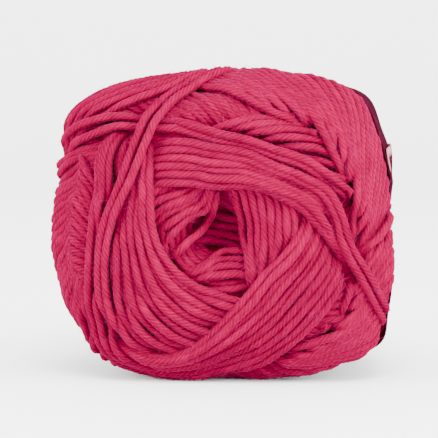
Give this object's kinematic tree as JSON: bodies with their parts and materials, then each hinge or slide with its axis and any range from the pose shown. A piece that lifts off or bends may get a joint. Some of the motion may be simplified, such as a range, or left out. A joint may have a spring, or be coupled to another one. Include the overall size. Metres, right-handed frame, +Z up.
{
  "type": "ball of yarn",
  "caption": "Barrel-shaped machine-wound ball of cotton yarn lying on its side, with a feed hole at each end and a plain paper band round its girth.",
  "frame": {"origin": "on the flat spot under the ball's centre, at floor level", "axes": "+Z up, +X to the right along the widest way across the ball, -Y along the ball's axis towards its front feed hole"},
  "size_m": [0.0763, 0.0703, 0.0693],
  "materials": {
    "yarn": "hot pink plied cotton, soft and slightly lustrous",
    "band": "plain dark maroon paper, smooth"
  },
  "bodies": {
    "root": {"yarn_ball": "yarn", "ball_band": "band"}
  },
  "joints": []
}
